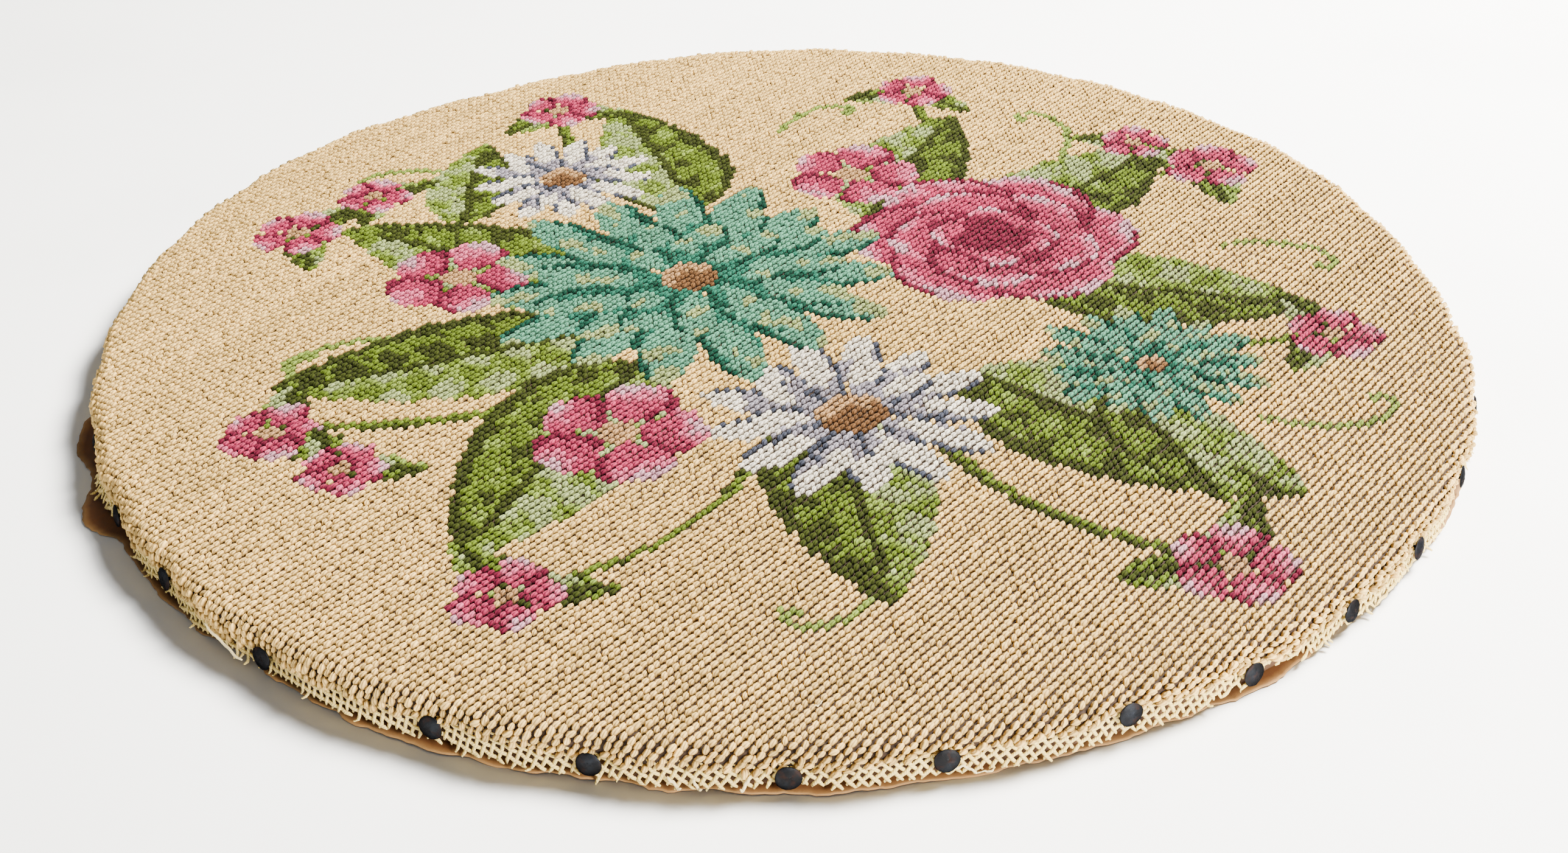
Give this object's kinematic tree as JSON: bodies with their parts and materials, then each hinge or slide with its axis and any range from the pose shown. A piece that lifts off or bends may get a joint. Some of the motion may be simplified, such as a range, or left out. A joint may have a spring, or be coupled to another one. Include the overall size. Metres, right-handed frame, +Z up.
{
  "type": "needlepoint canvas panel on a round board",
  "caption": "Round wool needlepoint canvas stretched over a flat wooden board, tacked round its rim, with a raw canvas margin and brown backing paper.",
  "frame": {"origin": "middle of the underside of the backing paper", "axes": "+Z up, out of the worked face; -Y is the side nearest the viewer; +X to the viewer's right"},
  "size_m": [0.4987, 0.5045, 0.0163],
  "materials": {
    "worked_wool": "wool tent stitch",
    "board_wood": "unfinished",
    "brown_paper": "matt, torn",
    "tack_steel": "blued"
  },
  "bodies": {
    "root": {"needlepoint": "worked_wool", "board": "board_wood", "backing_paper": "brown_paper", "tack_01": "tack_steel", "tack_02": "tack_steel", "tack_03": "tack_steel", "tack_04": "tack_steel", "tack_05": "tack_steel", "tack_06": "tack_steel", "tack_07": "tack_steel", "tack_08": "tack_steel", "tack_09": "tack_steel", "tack_10": "tack_steel", "tack_11": "tack_steel", "tack_12": "tack_steel", "tack_13": "tack_steel", "tack_14": "tack_steel", "tack_15": "tack_steel", "tack_16": "tack_steel", "tack_17": "tack_steel", "tack_18": "tack_steel", "tack_19": "tack_steel", "tack_20": "tack_steel", "tack_21": "tack_steel", "tack_22": "tack_steel", "tack_23": "tack_steel", "tack_24": "tack_steel", "tack_25": "tack_steel", "tack_26": "tack_steel", "tack_27": "tack_steel", "tack_28": "tack_steel", "tack_29": "tack_steel", "tack_30": "tack_steel", "tack_31": "tack_steel", "tack_32": "tack_steel", "tack_33": "tack_steel"}
  },
  "joints": []
}
